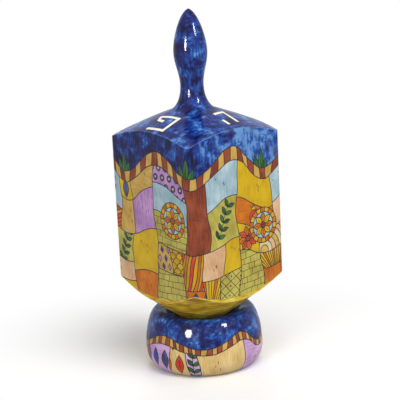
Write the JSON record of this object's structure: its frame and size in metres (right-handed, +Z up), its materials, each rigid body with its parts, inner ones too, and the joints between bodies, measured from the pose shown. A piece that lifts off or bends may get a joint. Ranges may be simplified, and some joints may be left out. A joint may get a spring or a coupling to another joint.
{
  "type": "dreidel in a stand",
  "caption": "Square wooden spinning top with a turned nose, roof and bulb handle, resting nose down in a bun-shaped stand with a drilled socket.",
  "frame": {"origin": "centre of the stand's flat underside, on the floor", "axes": "+Z up along the axis that the dreidel spins on; -Y and -X are the two painted faces that the picture shows"},
  "size_m": [0.0602, 0.0602, 0.1811],
  "materials": {
    "painted_stand": "hand-painted in blue, lilac, ochre and sand under a gloss lacquer",
    "painted_block": "hand-painted in blue, ochre, sand and brick under a gloss lacquer",
    "painted_handle": "brushed blue paint under a gloss lacquer"
  },
  "bodies": {
    "stand": {"stand": "painted_stand"},
    "dreidel": {"block": "painted_block", "handle": "painted_handle"}
  },
  "joints": [
    {"name": "lift", "type": "slide", "parent": "stand", "child": "dreidel", "axis": [0, 0, 1], "range_m": [0, 0.06]}
  ]
}
